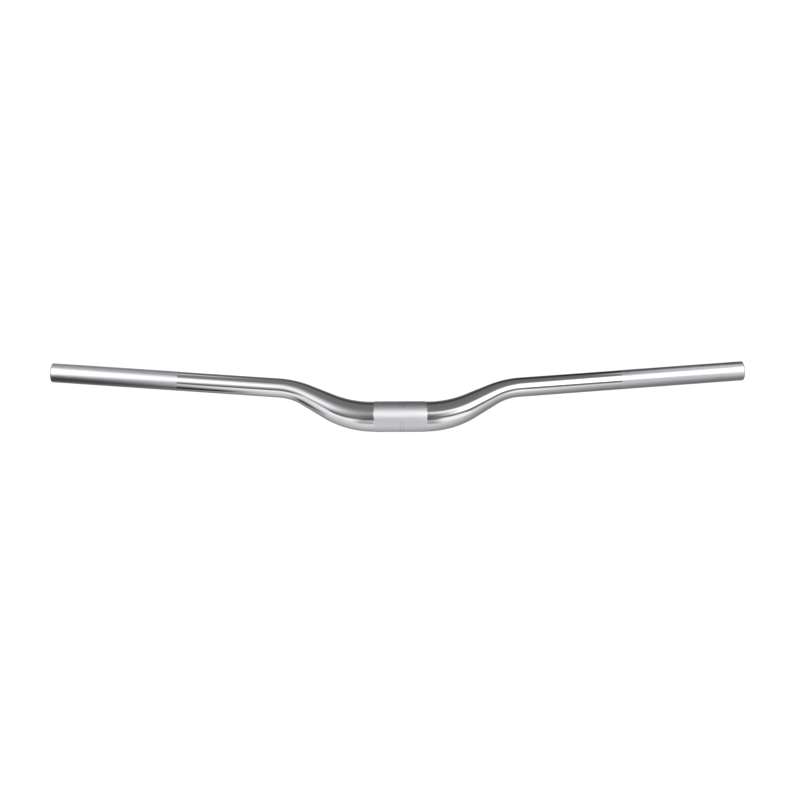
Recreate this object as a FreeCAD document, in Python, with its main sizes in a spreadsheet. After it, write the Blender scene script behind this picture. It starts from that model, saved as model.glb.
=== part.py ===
# Riser handlebar for a bicycle: one bent, tapered and butted aluminium tube, open at both ends.
# Millimetres and degrees. The origin is the middle of the stem clamp seat, +X runs along the seat,
# -Y points ahead of the bicycle and +Z up, so +X is the rider's left, and the grips sweep back towards
# +Y and up towards +Z.
import FreeCAD, Part
import math
import os
import Sketcher

os.makedirs("parts", exist_ok=True)
doc = FreeCAD.newDocument("riser_handlebar")

# Driving dimensions, one cell each
sizes = {
    # overall width, and the line of the bends
    "overall_width": 800,
    "rise": 32.5,
    "rise_setback": 5,
    "upper_bend_spacing": 240,
    "lower_bend_radius": 108,
    "upper_bend_radius": 87,
    "backsweep": 9,
    "upsweep": 5,
    # outside diameters, and the lengths along the bar that go with them
    "clamp_diameter": 35,
    "clamp_length": 56.5,
    "shoulder_diameter": 34.2,
    "shoulder_length": 1.75,
    "knee_diameter": 29.3,
    "grip_diameter": 22.2,
    "runout_share": 0.8,
    # butted wall, thick at the clamp and thin at the grips
    "clamp_wall": 2.6,
    "rise_wall": 2.2,
    "grip_wall": 2,
    # cut ends
    "end_rounding": 1,
    "bore_chamfer": 0.4,
}
sheet = doc.addObject("Spreadsheet::Sheet", "Sheet")
for row, (alias, value) in enumerate(sizes.items(), start=1):
    sheet.set(f"A{row}", alias)
    sheet.set(f"B{row}", str(value))
    sheet.setAlias(f"B{row}", alias)
doc.recompute()

# Values worked out from the driving dimensions
line = doc.addObject("App::VarSet", "Line")


def derive(kind, name, formula):
    line.addProperty(f"App::Property{kind}", name, "Line")
    line.setExpression(name, formula)
    doc.recompute()


# Each half is the straight seat with a short shoulder, the lower bend, a straight rise, the upper bend and
# a straight grip. The lower bend lies in a plane through the seat's axis that leans back. The rise is the
# tangent from that bend to the corner where the rise and the grip would cross.
derive("Float", "climb", "sqrt(Sheet.rise ^ 2 + Sheet.rise_setback ^ 2)")
derive("Angle", "lean", "atan2(Sheet.rise_setback; Sheet.rise)")
derive("Float", "run", "(Sheet.upper_bend_spacing - Sheet.clamp_length) / 2 - Sheet.shoulder_length")
derive("Float", "above_centre", "climb - Sheet.lower_bend_radius")
derive("Float", "reach", "sqrt(run ^ 2 + above_centre ^ 2)")
derive("Angle", "lower_turn", "atan2(above_centre; run) + asin(Sheet.lower_bend_radius / reach)")
derive("Float", "rise_tangent", "sqrt(reach ^ 2 - Sheet.lower_bend_radius ^ 2)")
# The grip's unit direction, then its shares along the rise and along the rise's two normals, give the
# upper bend's turn and the twist of its plane about the rise.
derive("Float", "grip_slant", "sqrt(1 + tan(Sheet.backsweep) ^ 2 + tan(Sheet.upsweep) ^ 2)")
derive("Float", "grip_out", "1 / grip_slant")
derive("Float", "grip_back", "tan(Sheet.backsweep) / grip_slant")
derive("Float", "grip_up", "tan(Sheet.upsweep) / grip_slant")
derive("Float", "grip_lift", "sin(lean) * grip_back + cos(lean) * grip_up")
derive("Float", "along_rise", "cos(lower_turn) * grip_out + sin(lower_turn) * grip_lift")
derive("Float", "across_rise", "cos(lower_turn) * grip_lift - sin(lower_turn) * grip_out")
derive("Float", "beside_rise", "sin(lean) * grip_up - cos(lean) * grip_back")
derive("Angle", "upper_turn", "acos(along_rise)")
derive("Angle", "twist", "atan2(beside_rise; across_rise)")
derive("Float", "upper_tangent", "Sheet.upper_bend_radius * tan(upper_turn / 2)")
derive("Float", "rise_length", "rise_tangent - upper_tangent")
# The outermost point of the grip's rounded end reaches the overall width.
derive("Float", "end_radius", "Sheet.grip_diameter / 2 - Sheet.end_rounding")
derive("Float", "end_reach", "Sheet.end_rounding + end_radius * sqrt(1 - grip_out ^ 2)")
derive("Float", "grip_start", "Sheet.upper_bend_spacing / 2 + upper_tangent * grip_out")
derive("Float", "grip_run", "(Sheet.overall_width / 2 - end_reach - grip_start) / grip_out")
derive("Float", "grip_length", "grip_run + Sheet.end_rounding")
# The shoulder and the rise are plain cones. The taper eases in round the lower bend and runs out in the
# first part of the upper bend. Each of these bends has a middle diameter that makes its slope meet the
# rise's, so that no crease shows on the polished tube.
derive("Angle", "runout_turn", "upper_turn * Sheet.runout_share")
derive("Angle", "wrist_turn", "upper_turn - runout_turn")
derive("Float", "elbow_length", "Sheet.lower_bend_radius * lower_turn / 1 rad")
derive("Float", "runout_length", "Sheet.upper_bend_radius * runout_turn / 1 rad")
derive("Float", "runout_ratio", "runout_length / (2 * rise_length)")
derive(
    "Float",
    "neck_diameter",
    "(Sheet.grip_diameter + runout_ratio * Sheet.knee_diameter) / (1 + runout_ratio)",
)
derive("Float", "rise_slope", "(neck_diameter - Sheet.knee_diameter) / rise_length")
derive("Float", "elbow_slope", "(Sheet.knee_diameter - Sheet.shoulder_diameter) / elbow_length")
derive(
    "Float",
    "elbow_diameter",
    "(Sheet.shoulder_diameter + Sheet.knee_diameter) / 2 + (elbow_slope - rise_slope) * elbow_length / 4",
)
derive("Float", "runout_middle", "Sheet.grip_diameter + (neck_diameter - Sheet.grip_diameter) / 4")

# One body holds the whole bar
bar = doc.addObject("PartDesign::Body", "handlebar")
bar.Label = "handlebar"
doc.recompute()
plane = {feature.Role: feature for feature in bar.Origin.OriginFeatures}
axis_x = FreeCAD.Vector(1, 0, 0)
axis_y = FreeCAD.Vector(0, 1, 0)
axis_z = FreeCAD.Vector(0, 0, 1)
# numbers of a sketched arc's points, and of the sketch's own origin and upright axis
start_index, centre_index = 1, 3
origin_index = (-1, start_index)
upright_index = -2
# a new placement's turn, until its formula sets it
first_turn = 1


def formula_value(formula):
    """Number that a formula gives now, with angles in radians."""
    value = sheet.evalExpression(formula)
    if isinstance(value, FreeCAD.Units.Quantity):
        return value.getValueAs("rad").Value
    return value


def frame_after(name, support, shift, axis, turn):
    """Frame with its x along the bar, shifted and turned from the one before it."""
    frame = bar.newObject("PartDesign::CoordinateSystem", name)
    frame.AttachmentSupport = [(support, "")]
    frame.MapMode = "ObjectXY"
    frame.AttachmentOffset = FreeCAD.Placement(FreeCAD.Vector(), FreeCAD.Rotation(axis, first_turn))
    for direction, formula in shift.items():
        frame.setExpression(f"AttachmentOffset.Base.{direction}", formula)
    frame.setExpression("AttachmentOffset.Rotation.Angle", turn)
    doc.recompute()
    return frame


def frame_after_bend(name, support, radius, turn):
    """Frame at the end of a bend that curves from the last frame's +x towards its +y."""
    shift = {"x": f"{radius} * sin({turn})", "y": f"{radius} * (1 - cos({turn}))"}
    return frame_after(name, support, shift, axis_z, turn)


lower_radius = "Sheet.lower_bend_radius"
upper_radius = "Sheet.upper_bend_radius"
seat_end = {"x": "Sheet.clamp_length / 2"}
shoulder_end = {"x": "Sheet.shoulder_length"}
shoulder_frame = frame_after("shoulder_frame", plane["XY_Plane"], seat_end, axis_x, "90 deg - Line.lean")
lower_frame = frame_after("lower_frame", shoulder_frame, shoulder_end, axis_x, "0 deg")
rise_frame = frame_after_bend("rise_frame", lower_frame, lower_radius, "Line.lower_turn")
upper_frame = frame_after("upper_frame", rise_frame, {"x": "Line.rise_length"}, axis_x, "Line.twist")
wrist_frame = frame_after_bend("wrist_frame", upper_frame, upper_radius, "Line.runout_turn")
grip_frame = frame_after_bend("grip_frame", wrist_frame, upper_radius, "Line.wrist_turn")


def new_sketch(name, support, mode):
    sketch = bar.newObject("Sketcher::SketchObject", name)
    sketch.AttachmentSupport = [(support, "")]
    sketch.MapMode = mode
    return sketch


def dimension(sketch, name, formula, kind, edge):
    """Named dimension of a sketched edge, driven by a formula."""
    index = sketch.addConstraint(Sketcher.Constraint(kind, edge, formula_value(formula)))
    sketch.renameConstraint(index, name)
    sketch.setExpression(f"Constraints.{name}", formula)


def draw_ring(sketch, diameter, wall):
    """Outside and bore of the tube, as two circles round the sketch's origin."""
    circles = {"outside": diameter, "bore": f"{diameter} - 2 * {wall}"}
    for index, (name, formula) in enumerate(circles.items()):
        sketch.addGeometry(Part.Circle(FreeCAD.Vector(), axis_z, formula_value(formula) / 2))
        sketch.addConstraint(Sketcher.Constraint("Coincident", index, centre_index, *origin_index))
        dimension(sketch, name, formula, "Diameter", index)
    doc.recompute()


def section(name, frame, diameter, wall, radius="0", turn="0 deg"):
    """Section of the tube, square to the bar, at a frame or so far round the bend that starts there."""
    sketch = new_sketch(name, frame, "ObjectYZ")
    sketch.AttachmentOffset = FreeCAD.Placement(FreeCAD.Vector(), FreeCAD.Rotation(axis_y, first_turn))
    sketch.setExpression("AttachmentOffset.Base.x", f"{radius} * (1 - cos({turn}))")
    sketch.setExpression("AttachmentOffset.Base.z", f"{radius} * sin({turn})")
    sketch.setExpression("AttachmentOffset.Rotation.Angle", turn)
    draw_ring(sketch, diameter, wall)
    return sketch


def bend_path(name, frame, radius, turn):
    """Centre line of the bend that starts at a frame."""
    sketch = new_sketch(name, frame, "ObjectXY")
    bend = 0
    bend_radius = formula_value(radius)
    quarter = math.pi / 2
    circle = Part.Circle(FreeCAD.Vector(0, bend_radius, 0), axis_z, bend_radius)
    sketch.addGeometry(Part.ArcOfCircle(circle, -quarter, formula_value(turn) - quarter))
    sketch.addConstraint(Sketcher.Constraint("Coincident", bend, start_index, *origin_index))
    sketch.addConstraint(Sketcher.Constraint("PointOnObject", bend, centre_index, upright_index))
    dimension(sketch, "radius", radius, "Radius", bend)
    dimension(sketch, "turn", turn, "Angle", bend)
    doc.recompute()
    return sketch


def bent_tube(name, frame, radius, turn, first, middle, last):
    """Tube round a bend from a frame, through sections of these diameters and walls."""
    shares = {"start": 0, "middle": 0.5, "end": 1}
    sections = [
        section(f"{name}_{place}", frame, *tube, radius, f"{turn} * {share}")
        for (place, share), tube in zip(shares.items(), (first, middle, last))
    ]
    tube = bar.newObject("PartDesign::AdditivePipe", name)
    tube.Profile = sections[0]
    tube.Sections = sections[1:]
    tube.Transformation = "Multisection"
    tube.Spine = (bend_path(f"{name}_path", frame, radius, turn), ["Edge1"])
    doc.recompute()
    return tube


def straight_tube(name, first_frame, first, last_frame, last):
    """Conical tube between two frames, from one diameter and wall to the next."""
    tube = bar.newObject("PartDesign::AdditiveLoft", name)
    tube.Profile = section(f"{name}_start", first_frame, *first)
    tube.Sections = [section(f"{name}_end", last_frame, *last)]
    tube.Ruled = True
    doc.recompute()
    return tube


# Diameter and wall of the tube at each station from the seat outwards
seat_tube = ("Sheet.clamp_diameter", "Sheet.clamp_wall")
shoulder_tube = ("Sheet.shoulder_diameter", "Sheet.clamp_wall")
elbow_tube = ("Line.elbow_diameter", "(Sheet.clamp_wall + Sheet.rise_wall) / 2")
knee_tube = ("Sheet.knee_diameter", "Sheet.rise_wall")
neck_tube = ("Line.neck_diameter", "Sheet.rise_wall")
runout_tube = ("Line.runout_middle", "(Sheet.rise_wall + Sheet.grip_wall) / 2")
grip_tube = ("Sheet.grip_diameter", "Sheet.grip_wall")

# Stem clamp seat, straight and parallel, half on each side of the middle
seat_section = new_sketch("seat_section", plane["YZ_Plane"], "FlatFace")
draw_ring(seat_section, *seat_tube)
seat = bar.newObject("PartDesign::Pad", "clamp_seat")
seat.Profile = seat_section
seat.SideType = "Symmetric"
seat.setExpression("Length", "Sheet.clamp_length")
doc.recompute()

# Short shoulder down from the seat, lower bend, and straight, conical rise
shoulder = straight_tube("shoulder", shoulder_frame, seat_tube, lower_frame, shoulder_tube)
elbow = bent_tube("elbow", lower_frame, lower_radius, "Line.lower_turn", shoulder_tube, elbow_tube, knee_tube)
rise = straight_tube("rise", rise_frame, knee_tube, upper_frame, neck_tube)

# Upper bend, tapering and then parallel
runout = bent_tube("runout", upper_frame, upper_radius, "Line.runout_turn", neck_tube, runout_tube, grip_tube)
wrist = bent_tube("wrist", wrist_frame, upper_radius, "Line.wrist_turn", grip_tube, grip_tube, grip_tube)

# Straight grip
grip = bar.newObject("PartDesign::Pad", "grip")
grip.Profile = section("grip_section", grip_frame, *grip_tube)
grip.setExpression("Length", "Line.grip_length")
doc.recompute()

# The rider's right half mirrors the left, which the frames above run down
mirrored = bar.newObject("PartDesign::Mirrored", "right_half")
mirrored.Originals = [shoulder, elbow, rise, runout, wrist, grip]
mirrored.MirrorPlane = (plane["YZ_Plane"], [""])
bar.Tip = mirrored
doc.recompute()


def end_rims(shape, radius):
    """Names of the two circles of this radius at the ends of the bar."""
    rims = []
    for number, edge in enumerate(shape.Edges, start=1):
        at_end = abs(edge.CenterOfMass.x) > line.grip_start + line.grip_run / 2
        if at_end and edge.isClosed() and math.isclose(edge.Curve.Radius, radius):
            rims.append(f"Edge{number}")
    return rims


# Cut ends: outer edge rounded, bore chamfered
rounding = bar.newObject("PartDesign::Fillet", "end_rounding")
rounding.Base = (mirrored, end_rims(mirrored.Shape, formula_value("Sheet.grip_diameter / 2")))
rounding.setExpression("Radius", "Sheet.end_rounding")
doc.recompute()
bore_radius = formula_value("Sheet.grip_diameter / 2 - Sheet.grip_wall")
chamfer = bar.newObject("PartDesign::Chamfer", "bore_chamfer")
chamfer.Base = (rounding, end_rims(rounding.Shape, bore_radius))
chamfer.setExpression("Size", "Sheet.bore_chamfer")
bar.Tip = chamfer
doc.recompute()

for item in doc.Objects:
    if "Invalid" in item.State or "Error" in item.State:
        raise RuntimeError(f"{item.Label} failed to build")
if bar.Shape.isNull() or not bar.Shape.isValid() or len(bar.Shape.Solids) != 1:
    raise RuntimeError("the handlebar isn't one valid solid")
bar.Shape.exportStep(f"parts/{bar.Label}.step")
print(f"{bar.Label}: volume {bar.Shape.Volume / 1000:.2f} cubic centimetres, {len(bar.Shape.Faces)} faces")
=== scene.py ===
import bmesh
import bpy
from math import acos, asin, atan2, cos, degrees, hypot, pi, radians, sin, sqrt, tan
from mathutils import Matrix, Vector


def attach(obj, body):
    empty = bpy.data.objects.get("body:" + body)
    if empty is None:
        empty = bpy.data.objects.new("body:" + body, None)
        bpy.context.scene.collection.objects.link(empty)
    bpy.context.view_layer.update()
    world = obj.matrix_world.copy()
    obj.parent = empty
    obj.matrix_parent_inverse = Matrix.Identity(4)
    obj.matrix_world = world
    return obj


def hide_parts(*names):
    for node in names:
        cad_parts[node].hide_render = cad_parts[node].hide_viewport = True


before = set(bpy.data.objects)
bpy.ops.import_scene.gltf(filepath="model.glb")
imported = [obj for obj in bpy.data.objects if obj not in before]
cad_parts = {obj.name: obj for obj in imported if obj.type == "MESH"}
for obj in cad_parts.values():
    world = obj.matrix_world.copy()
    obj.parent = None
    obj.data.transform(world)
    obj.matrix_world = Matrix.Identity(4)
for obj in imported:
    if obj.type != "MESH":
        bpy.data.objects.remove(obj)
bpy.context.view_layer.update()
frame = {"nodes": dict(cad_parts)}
scene = bpy.context.scene
print("frame loaded:", ", ".join(frame["nodes"]))

millimetre = 0.001
noiseRange = (0.3, 0.7)     # most values of a noise pattern lie between these


# One function turns sRGB hex into the linear colour that the shaders take
def hexColour(code):
    channels = [int(code[i:i + 2], 16) / 255 for i in (0, 2, 4)]
    return [c / 12.92 if c <= 0.04045 else ((c + 0.055) / 1.055) ** 2.4 for c in channels] + [1]


# One function adds a node: settings are its own options, inputs are plain values or other sockets
def addNode(tree, kind, inputs=None, **settings):
    node = tree.nodes.new("ShaderNode" + kind)
    for name, value in settings.items():
        setattr(node, name, value)
    for socket, value in (inputs or {}).items():
        if isinstance(value, bpy.types.NodeSocket):
            tree.links.new(value, node.inputs[socket])
        else:
            node.inputs[socket].default_value = value
    return node


def newMaterial(name):
    material = bpy.data.materials.new(name)
    material.use_nodes = True
    material.node_tree.nodes.clear()
    return material, material.node_tree


def newObject(name, mesh):
    data = bpy.data.meshes.new(name)
    mesh.to_mesh(data)
    mesh.free()
    thing = bpy.data.objects.new(name, data)
    scene.collection.objects.link(thing)
    return thing


# The bar: driving sizes in metres and degrees, the same as the solid's
bar = {
    "width": 0.800,
    "rise": 0.0325,
    "riseSetback": 0.005,       # the rise leans back by this
    "upperBendSpacing": 0.240,  # between the corners of the two upper bends
    "lowerBendRadius": 0.108,
    "upperBendRadius": 0.087,
    "backsweep": 9,
    "upsweep": 5,
    "seatLength": 0.0565,
    "seatDiameter": 0.035,
    "shoulderDiameter": 0.0342,
    "shoulderLength": 0.00175,
    "kneeDiameter": 0.0293,     # where the lower bend meets the rise
    "gripDiameter": 0.0222,
    "runoutShare": 0.8,         # share of the upper bend in which the taper runs out
    "seatWall": 0.0026,
    "riseWall": 0.0022,
    "gripWall": 0.002,
    "endRounding": 0.001,
    "boreChamfer": 0.0004,
    "satinGripLength": 0.148,   # brushed length at each end
    "finishShift": 0.0008,      # the limits of the finishes sit this far to the right
    "sides": 128,               # facets round the tube
    "straightRings": 4,         # rings along a straight run
    "ringTurn": 1.0,            # degrees between rings in a bend
    "rimRings": 8,              # rings round the rounded rim
    "ringGap": 0.01 * millimetre,       # rings closer than this are one
    "mergeGap": 0.001 * millimetre,     # and so are points
    "boreAngle": 120,           # a face turned this far from outwards is inside the bore
    "sharpAngle": 30,           # edges that turn more than this show as sharp
}


# Straight runs and bends of one half, from the middle outwards
def layOutRuns(bar):
    climb = hypot(bar["rise"], bar["riseSetback"])
    lean = atan2(bar["riseSetback"], bar["rise"])
    across = (bar["upperBendSpacing"] - bar["seatLength"]) / 2 - bar["shoulderLength"]
    aboveCentre = climb - bar["lowerBendRadius"]
    reach = hypot(across, aboveCentre)
    lowerTurn = atan2(aboveCentre, across) + asin(bar["lowerBendRadius"] / reach)
    riseTangent = sqrt(reach ** 2 - bar["lowerBendRadius"] ** 2)

    # the grip's direction, against the rise, gives the upper bend's turn and plane
    grip = Vector((1, tan(radians(bar["backsweep"])), tan(radians(bar["upsweep"])))).normalized()
    lift = sin(lean) * grip.y + cos(lean) * grip.z
    beside = sin(lean) * grip.z - cos(lean) * grip.y
    alongRise = cos(lowerTurn) * grip.x + sin(lowerTurn) * lift
    acrossRise = cos(lowerTurn) * lift - sin(lowerTurn) * grip.x
    upperTurn = acos(alongRise)
    lowerPlane = pi / 2 - lean
    upperPlane = lowerPlane + atan2(beside, acrossRise)
    upperTangent = bar["upperBendRadius"] * tan(upperTurn / 2)

    # the rim's outermost point reaches the full width
    rimRadius = bar["gripDiameter"] / 2 - bar["endRounding"]
    endReach = bar["endRounding"] + rimRadius * sqrt(1 - grip.x ** 2)
    gripStart = bar["upperBendSpacing"] / 2 + upperTangent * grip.x
    gripLength = (bar["width"] / 2 - endReach - gripStart) / grip.x + bar["endRounding"]
    return [
        {"name": "seat", "length": bar["seatLength"] / 2},
        {"name": "shoulder", "length": bar["shoulderLength"]},
        {"name": "lowerBend", "length": bar["lowerBendRadius"] * lowerTurn,
         "radius": bar["lowerBendRadius"], "plane": lowerPlane},
        {"name": "rise", "length": riseTangent - upperTangent},
        {"name": "upperBend", "length": bar["upperBendRadius"] * upperTurn,
         "radius": bar["upperBendRadius"], "plane": upperPlane},
        {"name": "grip", "length": gripLength},
    ]


# Where a section goes that lies this far along the bar
def bentPlace(runs, along):
    place = Matrix.Identity(4)
    for run in runs:
        step = min(along, run["length"])
        if "radius" in run:
            turn = step / run["radius"]
            shift = Vector((sin(turn), 1 - cos(turn), 0)) * run["radius"]
            plane = Matrix.Rotation(run["plane"], 4, "X")
            bend = Matrix.Translation(shift) @ Matrix.Rotation(turn, 4, "Z")
            place = place @ plane @ bend @ plane.inverted()
        else:
            place = place @ Matrix.Translation((step, 0, 0))
        along -= step
        if along <= 0:
            break
    return place


# Outside diameter and wall along the bar: the shoulder and the rise are cones, and each bend tapers
# by a parabola whose slope meets the rise's
def layOutTapers(bar, runs):
    lengths = {run["name"]: run["length"] for run in runs}
    runoutLength = lengths["upperBend"] * bar["runoutShare"]
    ratio = runoutLength / (2 * lengths["rise"])
    neckDiameter = (bar["gripDiameter"] + ratio * bar["kneeDiameter"]) / (1 + ratio)
    riseSlope = (neckDiameter - bar["kneeDiameter"]) / lengths["rise"]
    shoulderSlope = (bar["shoulderDiameter"] - bar["seatDiameter"]) / lengths["shoulder"]
    stations = [
        # length, diameter at the end, slope there, wall at the end
        (lengths["seat"], bar["seatDiameter"], 0, bar["seatWall"]),
        (lengths["shoulder"], bar["shoulderDiameter"], shoulderSlope, bar["seatWall"]),
        (lengths["lowerBend"], bar["kneeDiameter"], riseSlope, bar["riseWall"]),
        (lengths["rise"], neckDiameter, riseSlope, bar["riseWall"]),
        (runoutLength, bar["gripDiameter"], 0, bar["gripWall"]),
        (lengths["upperBend"] - runoutLength + lengths["grip"], bar["gripDiameter"], 0, bar["gripWall"]),
    ]
    tapers = []
    start, diameter, wall = 0, bar["seatDiameter"], bar["seatWall"]
    for length, endDiameter, endSlope, endWall in stations:
        curve = (diameter - endDiameter + endSlope * length) / length ** 2
        tapers.append((start, start + length, endDiameter, endSlope, curve, wall, endWall))
        start, diameter, wall = start + length, endDiameter, endWall
    return tapers


# Outside and inside radius at a distance along the bar
def tubeRadii(tapers, along):
    for start, end, endDiameter, endSlope, curve, wall, endWall in tapers:
        if along <= end:
            break
    back = end - along
    outside = (endDiameter - endSlope * back + curve * back ** 2) / 2
    share = (along - start) / (end - start)
    return outside, outside - wall - (endWall - wall) * share


# Distances from the middle at which the tube gets a ring
def ringPlaces(bar, runs, tapers):
    places = [0]
    for run in runs:
        start = places[-1]
        rings = bar["straightRings"]
        if "radius" in run:
            rings = round(degrees(run["length"] / run["radius"]) / bar["ringTurn"])
        places += [start + run["length"] * (i + 1) / rings for i in range(rings)]
    length = places.pop()
    places += [end for start, end, *rest in tapers[:-1]]
    for limit in (runs[0]["length"] + runs[1]["length"], length - bar["satinGripLength"]):
        places += [limit - bar["finishShift"], limit + bar["finishShift"]]
    kept = []
    for place in sorted(places):
        if not kept or place - kept[-1] > bar["ringGap"]:
            kept.append(place)
    return kept, length


def buildBar(bar, finishes):
    runs = layOutRuns(bar)
    tapers = layOutTapers(bar, runs)
    places, length = ringPlaces(bar, runs, tapers)

    # half of the section as one line: outside, rounded rim, chamfered bore, inside
    rimRadius = bar["gripDiameter"] / 2 - bar["endRounding"]
    boreRadius = bar["gripDiameter"] / 2 - bar["gripWall"]
    outline = [(place, tubeRadii(tapers, place)[0]) for place in places]
    for i in range(bar["rimRings"] + 1):
        turn = pi / 2 * i / bar["rimRings"]
        ringOut = length - bar["endRounding"] * (1 - sin(turn))
        outline.append((ringOut, rimRadius + bar["endRounding"] * cos(turn)))
    outline.append((length, boreRadius + bar["boreChamfer"]))
    outline.append((length - bar["boreChamfer"], boreRadius))
    outline += [(place, tubeRadii(tapers, place)[1]) for place in reversed(places)]

    # turned as a straight tube first
    mesh = bmesh.new()
    corners = [mesh.verts.new((along, 0, radius)) for along, radius in outline]
    edges = [mesh.edges.new(pair) for pair in zip(corners, corners[1:])]
    bmesh.ops.spin(mesh, geom=corners + edges, cent=(0, 0, 0), axis=(1, 0, 0), angle=2 * pi,
                   steps=bar["sides"], use_merge=True)
    bmesh.ops.remove_doubles(mesh, verts=mesh.verts, dist=bar["mergeGap"])
    bmesh.ops.recalc_face_normals(mesh, faces=mesh.faces)

    # the inside gets its finish while the tube is straight
    for face in mesh.faces:
        middle = face.calc_center_median()
        outwards = Vector((0, middle.y, middle.z))
        inside = face.normal.angle(outwards) > radians(bar["boreAngle"])
        face.material_index = finishes.index("bore" if inside else "polished")
        face.smooth = True
    for edge in mesh.edges:
        edge.smooth = len(edge.link_faces) < 2 or edge.calc_face_angle() < radians(bar["sharpAngle"])

    # each point keeps its straight place and the bar's direction there, so that the grain follows the bends
    straight = mesh.verts.layers.float_vector.new("straight")
    heading = mesh.verts.layers.float_vector.new("heading")
    rings = {}
    for corner in mesh.verts:
        corner[straight] = corner.co
        rings.setdefault(round(corner.co.x / millimetre, 3), []).append(corner)

    # then bent ring by ring, and mirrored
    for ring in rings.values():
        along = ring[0].co.x
        place = bentPlace(runs, along) @ Matrix.Translation((-along, 0, 0))
        bmesh.ops.transform(mesh, matrix=place, verts=ring)
        for corner in ring:
            corner[heading] = place.to_3x3() @ Vector((1, 0, 0))
    bmesh.ops.mirror(mesh, geom=mesh.verts[:] + mesh.edges[:] + mesh.faces[:], axis="X",
                     merge_dist=bar["mergeGap"])
    for corner in mesh.verts:
        if corner.co.x < 0:
            corner[straight].x = -corner[straight].x
            corner[heading].x = -corner[heading].x

    # satin on the seat and the grips, up to the sawn rims
    for face in mesh.faces:
        middle = sum(corner[straight].x for corner in face.verts) / len(face.verts)
        out = abs(middle - bar["finishShift"])
        if face.material_index == finishes.index("polished"):
            if abs(middle) > length - bar["endRounding"]:
                face.material_index = finishes.index("sawn")
            elif out > length - bar["satinGripLength"]:
                face.material_index = finishes.index("grips")
            elif out < bar["seatLength"] / 2 + bar["shoulderLength"]:
                face.material_index = finishes.index("seat")
    bmesh.ops.recalc_face_normals(mesh, faces=mesh.faces)

    piece = newObject("bentBar", mesh)
    print("bar:", len(piece.data.polygons), "faces,", round(length / millimetre, 1), "mm along each half")
    return piece


# What the metals share: streaks that vary the roughness. Sizes in the finishes are in mm: along the bar,
# front to back and up, on the bar before it is bent
def newMetal(finish):
    material, tree = newMaterial(finish["name"])
    shader = addNode(tree, "BsdfPrincipled", {"Base Color": hexColour(finish["colour"]), "Metallic": 1})
    addNode(tree, "OutputMaterial", {"Surface": shader.outputs[0]})
    straight = addNode(tree, "Attribute", attribute_name="straight").outputs["Vector"]
    scale = [1 / (size * millimetre) for size in finish["streakSize"]]
    stretched = addNode(tree, "Mapping", {"Vector": straight, "Scale": scale}).outputs[0]
    streaks = addNode(tree, "TexNoise", {
        "Vector": stretched, "Scale": 1, "Detail": finish["streakDetail"],
    }).outputs[0]
    smoothest, roughest = (finish["roughness"] * share for share in finish["unevenness"])
    rough = addNode(tree, "MapRange", {
        "Value": streaks, "From Min": noiseRange[0], "From Max": noiseRange[1],
        "To Min": smoothest, "To Max": roughest,
    })
    tree.links.new(rough.outputs[0], shader.inputs["Roughness"])
    return material, tree, shader, straight, streaks


# Polished aluminium, buffed to a mirror: bright and neutral, sharp reflections that waver a little
polishedFinish = {
    "name": "polishedAluminium",
    "colour": "F4F4F7",
    "roughness": 0.06,
    "unevenness": (0.6, 1.5),       # shares of the roughness that the streaks run between
    "streakSize": (30, 0.8, 0.8),   # buffing streaks, far finer on the real bar and drawn coarser to show
    "streakDetail": 3,
    "waveLength": 22,               # unevenness left by the buffing wheel
    "waveHeight": 0.006,
}


def makePolished(finish):
    material, tree, shader, straight, streaks = newMetal(finish)
    scale = 1 / (finish["waveLength"] * millimetre)
    waves = addNode(tree, "TexNoise", {"Vector": straight, "Scale": scale, "Detail": 1}).outputs[0]
    height = finish["waveHeight"] * millimetre
    bump = addNode(tree, "Bump", {"Height": waves, "Distance": height, "Strength": 1})
    tree.links.new(bump.outputs[0], shader.inputs["Normal"])
    return material


# Satin aluminium, brushed round the bar: light spreads along the bar but stays banded across it
gripFinish = {
    "name": "brushedAluminiumGrips",
    "colour": "EFEFF3",
    "roughness": 0.4,
    "spread": 0.34,                 # how much wider the sheen is along the bar than across it
    "unevenness": (0.92, 1.08),
    "streakSize": (1.2, 40, 40),    # the real brush lines are about 0.1 mm apart, drawn coarser to show
    "streakDetail": 2,
    "streakHeight": 0.002,
    "markColour": "DADADE",         # etched lines, a little darker
    "marks": [
        # cut guides, counted from the end; the angles go round the bar, up from its front
        {"fromEnd": True, "first": 5, "step": 5, "count": 6, "width": 0.4, "angles": (-50, 62)},
    ],
}

# The same brushing on the clamp seat, with a wider sheen, and paler: the paler colour is painted light that
# brightens the seat's reflections
seatFinishPaintedBright = {
    **gripFinish,
    "name": "brushedAluminiumSeatPaintedBright",
    # painted light: paler than the grips' colour so that the seat's sheen shows brighter
    "colour": "FBFBFE",
    "roughness": 0.57,
    "spread": 0.65,
    "marks": [
        # two lines low on the front, and ticks near the top
        {"first": 0.4, "step": 3.4, "count": 2, "width": 0.5, "angles": (-84, -24)},
        {"first": -0.6, "step": 2, "count": 4, "width": 0.5, "angles": (30, 44)},
    ],
}


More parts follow.
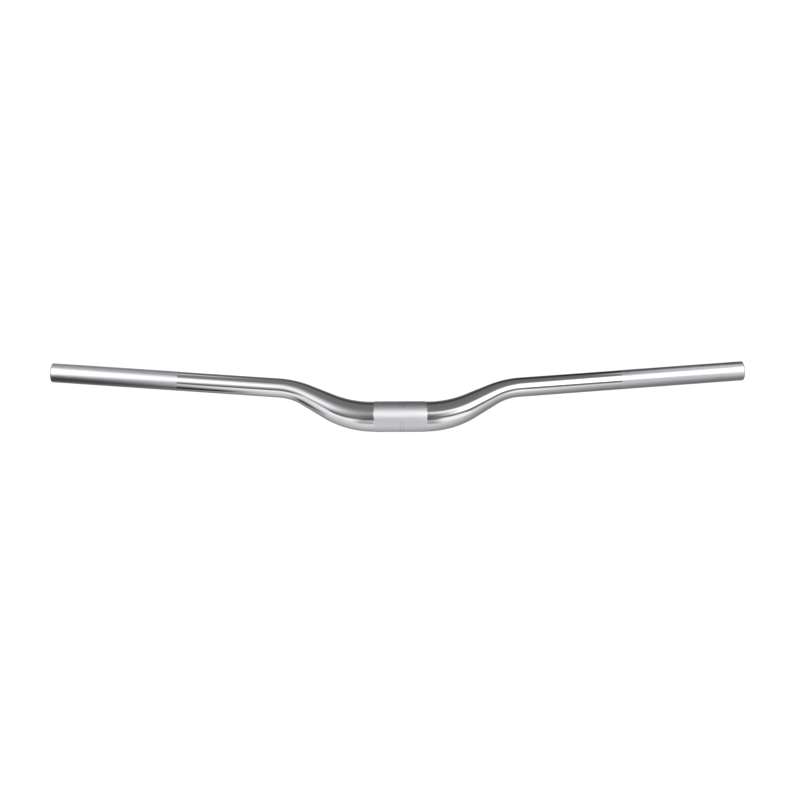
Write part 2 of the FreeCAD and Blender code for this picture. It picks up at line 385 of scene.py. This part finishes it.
# One on a group of evenly spaced lines across the bar, zero beside them
def markShare(tree, marks, straight, halfLength):
    split = addNode(tree, "SeparateXYZ", {0: straight})
    along = split.outputs["X"]
    if marks.get("fromEnd"):
        out = addNode(tree, "Math", {0: along}, operation="ABSOLUTE").outputs[0]
        along = addNode(tree, "Math", {0: halfLength, 1: out}, operation="SUBTRACT").outputs[0]
    first, step, width = (marks[key] * millimetre for key in ("first", "step", "width"))
    past = addNode(tree, "Math", {0: along, 1: first}, operation="SUBTRACT").outputs[0]
    nearest = addNode(tree, "Math", {0: past, 1: step / 2}, operation="PINGPONG").outputs[0]
    front = addNode(tree, "Math", {0: split.outputs["Y"], 1: -1}, operation="MULTIPLY").outputs[0]
    angle = addNode(tree, "Math", {0: split.outputs["Z"], 1: front}, operation="ARCTAN2").outputs[0]
    low, high = (radians(limit) for limit in marks["angles"])
    share = addNode(tree, "Math", {0: nearest, 1: width / 2}, operation="LESS_THAN").outputs[0]
    for value, limit, operation in (
        (past, -step / 2, "GREATER_THAN"), (past, step * (marks["count"] - 0.5), "LESS_THAN"),
        (angle, low, "GREATER_THAN"), (angle, high, "LESS_THAN"),
    ):
        within = addNode(tree, "Math", {0: value, 1: limit}, operation=operation).outputs[0]
        share = addNode(tree, "Math", {0: share, 1: within}, operation="MULTIPLY").outputs[0]
    return share


def makeSatin(finish, halfLength):
    material, tree, shader, straight, streaks = newMetal(finish)
    shader.inputs["Anisotropic"].default_value = finish["spread"]
    heading = addNode(tree, "Attribute", attribute_name="heading").outputs["Vector"]
    along = addNode(tree, "VectorTransform", {0: heading}, convert_from="OBJECT", convert_to="WORLD")
    tree.links.new(along.outputs[0], shader.inputs["Tangent"])
    height = finish["streakHeight"] * millimetre
    bump = addNode(tree, "Bump", {"Height": streaks, "Distance": height, "Strength": 1})
    tree.links.new(bump.outputs[0], shader.inputs["Normal"])
    etched = None
    for marks in finish["marks"]:
        share = markShare(tree, marks, straight, halfLength)
        if etched is not None:
            share = addNode(tree, "Math", {0: etched, 1: share}, operation="MAXIMUM").outputs[0]
        etched = share
    bare, lined = hexColour(finish["colour"]), hexColour(finish["markColour"])
    colour = addNode(tree, "Mix", {0: etched, 6: bare, 7: lined}, data_type="RGBA")    # 6 and 7 take colours
    tree.links.new(colour.outputs[2], shader.inputs["Base Color"])
    return material


# Drawn aluminium, left as it came off the mandrel: dull grey with lengthwise draw lines
boreFinish = {
    "name": "drawnAluminium",
    "colour": "C9CACD",
    "roughness": 0.42,
    "unevenness": (0.85, 1.2),
    "streakSize": (80, 0.6, 0.6),
    "streakDetail": 2,
    "streakHeight": 0.01,
}

# Sawn aluminium at the cut rims: greyer than the brushed sides, with saw lines across the cut
sawnFinish = {
    **boreFinish,
    "name": "sawnAluminium",
    "colour": "98999C",
    "roughness": 0.5,
    "streakSize": (20, 20, 0.4),
    "streakHeight": 0.004,
}


def makeDull(finish):
    material, tree, shader, straight, streaks = newMetal(finish)
    height = finish["streakHeight"] * millimetre
    bump = addNode(tree, "Bump", {"Height": streaks, "Distance": height, "Strength": 1})
    tree.links.new(bump.outputs[0], shader.inputs["Normal"])
    return material


halfLength = sum(run["length"] for run in layOutRuns(bar))
finishes = {
    "polished": makePolished(polishedFinish),
    "grips": makeSatin(gripFinish, halfLength),
    "seat": makeSatin(seatFinishPaintedBright, halfLength),
    "bore": makeDull(boreFinish),
    "sawn": makeDull(sawnFinish),
}
print("finishes:", ", ".join(finishes))
piece = buildBar(bar, list(finishes))
for material in finishes.values():
    piece.data.materials.append(material)
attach(piece, "root")
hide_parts("handlebar")


# Plain pale floor, as far below the bar as the ground is on a bicycle
floorLook = {
    "depth": 1.0,
    "radius": 8.0,
    "sides": 96,
    "colour": "FAFAFA",
    "roughness": 0.9,
}


def layFloor(look):
    mesh = bmesh.new()
    place = Matrix.Translation((0, 0, -look["depth"]))
    bmesh.ops.create_circle(mesh, cap_ends=True, segments=look["sides"], radius=look["radius"], matrix=place)
    floor = newObject("floor", mesh)
    material, tree = newMaterial("mattWhiteFloor")
    paint = addNode(tree, "BsdfPrincipled", {
        "Base Color": hexColour(look["colour"]), "Roughness": look["roughness"], "Specular IOR Level": 0,
    })
    addNode(tree, "OutputMaterial", {"Surface": paint.outputs[0]})
    floor.data.materials.append(material)
    floor.visible_glossy = False    # the metal mirrors the studio instead
    print("floor laid")


layFloor(floorLook)

# The studio that the metal mirrors. Bands give the room's grey by the angle of climb: ahead is 0,
# overhead 90, the back 180 and below -90. Panels stand in the room. Only reflections see either of them
studio = {
    "white": 1.06,      # what the eye and the matt floor see
    "bands": [
        (-180, "A0A0A0"), (-120, "4C4C4C"), (-80, "181818"), (-40, "2A2A2A"), (-24, "7A7A7A"),
        (-8, "606060"), (14, "909090"), (50, "747474"), (90, "666666"), (104, "2C2C2C"),
        (124, "181818"), (142, "707070"), (180, "A0A0A0"),
    ],
    "widest": 6,                        # half the width of a panel that has no edge on a side
    "sheetGap": 0.2 * millimetre,       # a later panel lies this far over an earlier one
    # the planes that panels lie in: level ones at a height, upright ones at a depth, in metres
    "planes": {
        "table": ("level", -0.17), "ceiling": ("level", 0.24),
        "front": ("upright", -0.86), "back": ("upright", 0.9),
    },
    # each panel: its plane, its light, and its edges as a place with the edge's softness, in metres
    # a slanted edge starts with the way it faces, in degrees from up, turning right
    "panels": [
        {"name": "table", "at": "table", "light": 2,
         "above": (-0.22, 0.12), "below": (-0.11, 1.1), "leftOf": (0.07, 1.2),
         "slants": [(105, -0.3, 0.24)]},
        {"name": "table front right", "at": "table", "light": 2,
         "above": (-0.27, 0.09), "below": (-0.37, 1.2), "rightOf": (-0.11, 0.16)},
        {"name": "table seam", "at": "table", "light": 0,
         "above": (-0.22, 1.5), "below": (-0.085, 0.07), "rightOf": (-0.1, 0.05), "leftOf": (0.09, 0.06)},
        {"name": "table gap", "at": "table", "light": 0,
         "above": (-0.03, 0.14), "below": (0.085, 0.02), "leftOf": (-0.24, 0.06)},
        {"name": "table side right", "at": "table", "light": 0.9,
         "above": (-0.16, 0.3), "below": (0.35, 0.3), "rightOf": (0.66, 0.3)},
        {"name": "table corner right", "at": "table", "light": 1,
         "above": (-0.34, 0.16), "below": (-0.12, 0.12), "rightOf": (0.12, 0.05), "leftOf": (0.28, 0.06)},
        {"name": "overhead left", "at": "ceiling", "light": 0.5,
         "above": (-0.02, 0.03), "below": (0.03, 0.03), "leftOf": (-0.21, 0.1)},
        {"name": "overhead far left", "at": "ceiling", "light": 2.2,
         "above": (0.46, 1.5), "below": (0.9, 0.06), "leftOf": (-0.42, 1.5)},
        {"name": "overhead right", "at": "ceiling", "light": 2.4,
         "above": (-0.015, 0.13), "below": (0, 0.08), "rightOf": (0.3, 0.1)},
        {"name": "left wall glow", "at": "front", "light": 1.7,
         "above": (-0.44, 1.5), "below": (1.55, 0.9), "leftOf": (-0.72, 0.06)},
        {"name": "left softbox", "at": "front", "light": 2.2,
         "above": (-0.05, 0.7), "below": (0.47, 1.25), "leftOf": (-0.38, 0.83)},
        {"name": "right wall glow", "at": "front", "light": 1.5,
         "above": (-0.65, 0.5), "below": (0.1, 0.3), "rightOf": (1.2, 0.5)},
        {"name": "right slit", "at": "front", "light": 1.6,
         "above": (0.28, 0.58), "below": (0.42, 0.22), "rightOf": (0.05, 0.31)},
        {"name": "right softbox", "at": "front", "light": 1.9,
         "above": (-0.15, 0.2), "below": (1.53, 1.5), "rightOf": (0.32, 0.45),
         "slants": [(135, -0.09, 0.48)]},
        {"name": "back left softbox", "at": "back", "light": 1.9,
         "above": (0.02, 0.12), "below": (0.5, 0.2), "rightOf": (-1.1, 0.3), "leftOf": (-0.12, 0.25)},
        {"name": "back right softbox", "at": "back", "light": 1.2,
         "above": (0.2, 0.12), "below": (0.5, 0.2), "rightOf": (0.2, 0.25), "leftOf": (1.1, 0.3)},
    ],
}


def lightRoom(studio):
    world = bpy.data.worlds.new("room")
    scene.world = world
    world.use_nodes = True
    world.cycles.sampling_method = "NONE"
    tree = world.node_tree
    tree.nodes.clear()
    direction = addNode(tree, "TexCoord").outputs["Generated"]
    split = addNode(tree, "SeparateXYZ", {0: direction})
    ahead = addNode(tree, "Math", {0: split.outputs["Y"], 1: -1}, operation="MULTIPLY").outputs[0]
    climb = addNode(tree, "Math", {0: split.outputs["Z"], 1: ahead}, operation="ARCTAN2").outputs[0]
    share = addNode(tree, "MapRange", {"Value": climb, "From Min": -pi, "From Max": pi}).outputs[0]
    ramp = addNode(tree, "ValToRGB", {"Fac": share})
    stops = ramp.color_ramp.elements
    while len(stops) < len(studio["bands"]):
        stops.new(1)
    # every stop gets its place before any gets its colour
    for stop, (angle, colour) in zip(stops, studio["bands"]):
        stop.position = (angle + 180) / 360
    for stop, (angle, colour) in zip(stops, studio["bands"]):
        stop.color = hexColour(colour)
    rays = addNode(tree, "LightPath")
    mirrored = addNode(tree, "Background", {"Color": ramp.outputs[0]})
    plain = addNode(tree, "Background", {"Color": [1, 1, 1, 1], "Strength": studio["white"]})
    both = addNode(tree, "MixShader", {
        0: rays.outputs["Is Glossy Ray"], 1: plain.outputs[0], 2: mirrored.outputs[0],
    })
    addNode(tree, "OutputWorld", {"Surface": both.outputs[0]})
    scene.view_settings.view_transform = "Standard"


# A panel is a sheet that shines inside its soft edges and is clear outside them
def hangPanel(panel, order, studio):
    lies, level = studio["planes"][panel["at"]]
    flat = lies == "level"
    towardsBar = -1 if level > 0 else 1
    level += towardsBar * order * studio["sheetGap"]

    # edges as the way they face, their place and their softness; the sheet ends where its light does
    widest = studio["widest"]
    edges = list(panel.get("slants", []))
    limits = {}
    for key, facing in {"above": 0, "rightOf": 90, "below": 180, "leftOf": 270}.items():
        side = -1 if facing < 180 else 1
        place, softness = panel.get(key, (side * widest, 0))
        limits[key] = max(-widest, min(widest, place + side * softness / 2))
        if key in panel:
            edges.append((facing, -side * place, softness))
    left, right, low, high = (limits[key] for key in ("rightOf", "leftOf", "above", "below"))
    mesh = bmesh.new()
    mesh.faces.new([
        mesh.verts.new((across, up, level) if flat else (across, level, up))
        for across, up in ((left, low), (right, low), (right, high), (left, high))
    ])
    sheet = newObject(panel["name"], mesh)

    material, tree = newMaterial(panel["name"])
    material.cycles.emission_sampling = "NONE"
    split = addNode(tree, "SeparateXYZ", {0: addNode(tree, "TexCoord").outputs["Object"]})
    across, up = split.outputs["X"], split.outputs["Y" if flat else "Z"]
    inside = None
    for facing, place, softness in edges:
        turn = radians(facing)
        rise = addNode(tree, "Math", {0: up, 1: cos(turn)}, operation="MULTIPLY").outputs[0]
        past = addNode(tree, "Math", {0: across, 1: sin(turn), 2: rise}, operation="MULTIPLY_ADD").outputs[0]
        edge = addNode(tree, "MapRange", {
            "Value": past, "From Min": place - softness / 2, "From Max": place + softness / 2,
        }, interpolation_type="SMOOTHSTEP").outputs[0]
        if inside is not None:
            edge = addNode(tree, "Math", {0: inside, 1: edge}, operation="MULTIPLY").outputs[0]
        inside = edge
    clear = addNode(tree, "BsdfTransparent")
    light = addNode(tree, "Emission", {"Strength": panel["light"]})
    both = addNode(tree, "MixShader", {0: inside, 1: clear.outputs[0], 2: light.outputs[0]})
    addNode(tree, "OutputMaterial", {"Surface": both.outputs[0]})
    sheet.data.materials.append(material)
    for ray in ("camera", "diffuse", "transmission", "volume_scatter", "shadow"):
        setattr(sheet, "visible_" + ray, False)


lightRoom(studio)
for order, panel in enumerate(studio["panels"]):
    hangPanel(panel, order, studio)
print("studio:", len(studio["panels"]), "panels")

# Camera a little below the bar and almost square to it, in metres and degrees
cameraSet = {
    "distance": 3.0,
    "azimuth": -1.33,
    "elevation": -5.52,
    "roll": -0.31,
    "pixelsPerMetre": 882,      # at the middle of the bar
    "framePixels": 800,
    "aim": (0.0005, 0.0188),    # middle of the picture, right of and above the middle of the bar
}


def placeCamera(camera):
    data = bpy.data.cameras.new("camera")
    data.lens = data.sensor_width * camera["pixelsPerMetre"] * camera["distance"] / camera["framePixels"]
    view = bpy.data.objects.new("camera", data)
    scene.collection.objects.link(view)
    turn, lift = radians(camera["azimuth"]), radians(camera["elevation"])
    back = Vector((sin(turn) * cos(lift), -cos(turn) * cos(lift), sin(lift)))
    right = Vector((cos(turn), sin(turn), 0))
    aim = right * camera["aim"][0] + back.cross(right) * camera["aim"][1]
    view.location = back * camera["distance"]
    look = (aim - view.location).to_track_quat("-Z", "Y").to_matrix().to_4x4()
    view.rotation_euler = (look @ Matrix.Rotation(radians(camera["roll"]), 4, "Z")).to_euler()
    scene.camera = view
    print("camera placed")


placeCamera(cameraSet)

bpy.context.view_layer.update()
